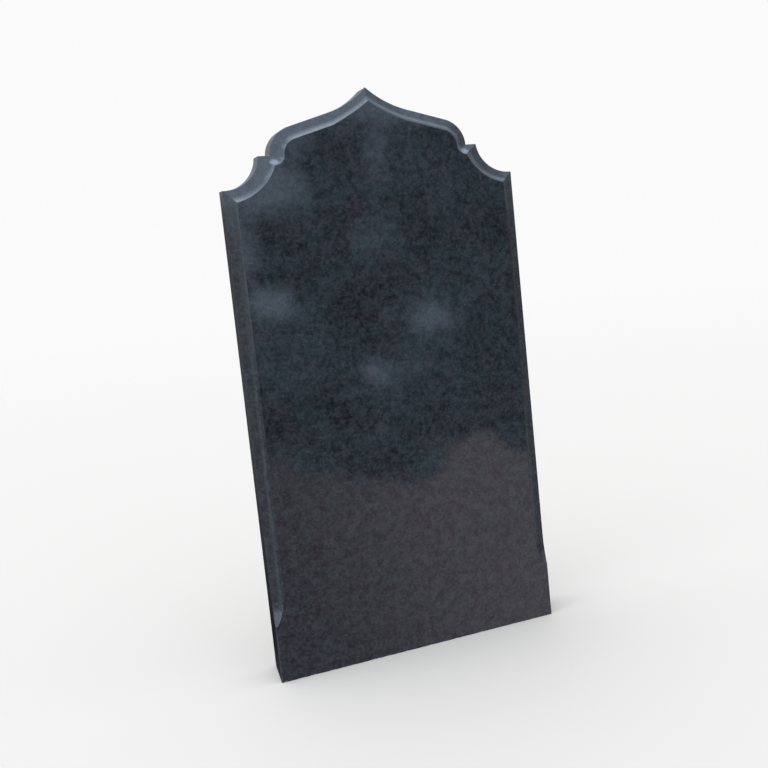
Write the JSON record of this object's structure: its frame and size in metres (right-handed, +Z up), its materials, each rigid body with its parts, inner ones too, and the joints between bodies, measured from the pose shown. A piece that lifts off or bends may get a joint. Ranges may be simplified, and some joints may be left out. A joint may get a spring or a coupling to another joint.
{
  "type": "headstone",
  "caption": "Upright polished granite headstone slab with an ogee brow rising to a peak, small square lugs, hollowed shoulders and a moulded front edge.",
  "frame": {"origin": "middle of the underside, where the stone meets the ground or its plinth", "axes": "+Z up towards the peak, -Y out of the polished face, +X to the right of someone facing the stone"},
  "size_m": [0.5, 0.08, 1],
  "materials": {
    "granite": "polished dark grey granite, the underside sawn"
  },
  "bodies": {
    "root": {"headstone": "granite"}
  },
  "joints": []
}
